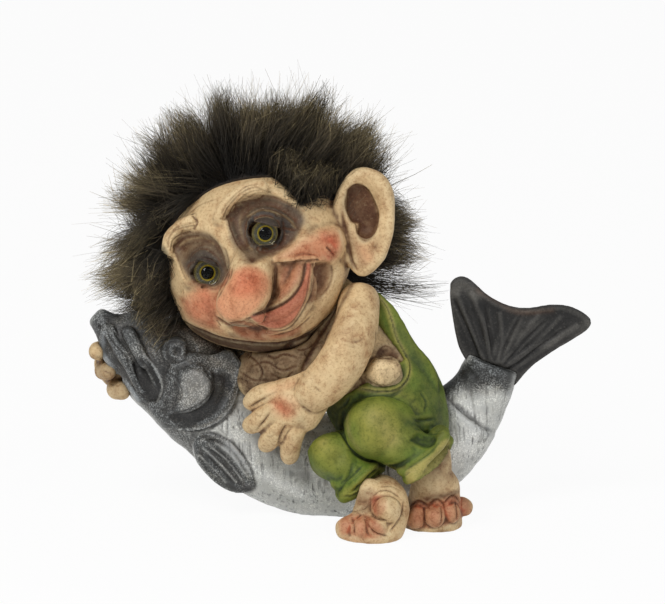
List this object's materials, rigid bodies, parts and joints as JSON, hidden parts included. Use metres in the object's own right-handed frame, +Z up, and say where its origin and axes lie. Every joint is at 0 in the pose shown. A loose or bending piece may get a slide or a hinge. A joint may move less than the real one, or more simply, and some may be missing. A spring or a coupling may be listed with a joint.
{
  "type": "troll figure hugging a fish",
  "caption": "Painted troll ornament with wild fur hair, glass eyes and green dungarees, lying along a bent fish that it hugs.",
  "frame": {"origin": "middle of the flat that the belly of the fish rests on, in the fish's middle plane", "axes": "+X towards the tail of the fish, the viewer's right; +Y away from the viewer; +Z up from the resting surface"},
  "size_m": [0.1659, 0.0965, 0.1491],
  "materials": {
    "eye_glass": "clear polished glass",
    "eye_paint": "black pupil with a thin yellow ring",
    "skin": "matt cream paint with a brown wash in the creases",
    "nose_blush": "matt peach and orange-red blush",
    "lip_pink": "matt salmon pink",
    "green_cloth": "matt moss green paint with yellow highlights",
    "fish_silver": "pale silver paint with scratched scales",
    "fish_slate": "dark slate paint dry-brushed with silver",
    "wig_backing": "dark hide backing of the fur",
    "fur": "long fur, near black at the roots and grey-brown at the tips"
  },
  "bodies": {
    "root": {"chest": "skin", "dungarees_seat": "green_cloth", "dungarees_strap": "green_cloth", "fish_body": "fish_silver", "fish_eye_back": "fish_slate", "fish_eye_front": "fish_slate", "fish_head": "fish_slate", "fish_lower_lip": "fish_slate", "fish_upper_lip": "fish_slate", "gill_cover_back": "fish_slate", "gill_cover_front": "fish_slate", "hair_back": "fur", "hair_crown": "fur", "hair_left": "fur", "hair_right": "fur", "head": "skin", "left_brow": "skin", "left_ear": "skin", "left_eye_back": "eye_paint", "left_eye_glass": "eye_glass", "left_foot": "skin", "left_forearm": "skin", "left_index_finger": "skin", "left_little_finger": "skin", "left_middle_finger": "skin", "left_palm": "skin", "left_thumb": "skin", "left_toes": "skin", "left_trouser_leg": "green_cloth", "left_upper_arm": "skin", "lower_lip": "lip_pink", "nose": "nose_blush", "pectoral_fin_back": "fish_slate", "pectoral_fin_front": "fish_slate", "right_arm": "skin", "right_brow": "skin", "right_eye_back": "eye_paint", "right_eye_glass": "eye_glass", "right_foot": "skin", "right_index_finger": "skin", "right_little_finger": "skin", "right_middle_finger": "skin", "right_palm": "skin", "right_toes": "skin", "right_trouser_leg": "green_cloth", "side_roll": "skin", "tail_fin": "fish_slate", "tail_stalk": "fish_silver", "tongue": "lip_pink", "torso": "skin", "upper_lip": "lip_pink", "wig_backing": "wig_backing"}
  },
  "joints": []
}
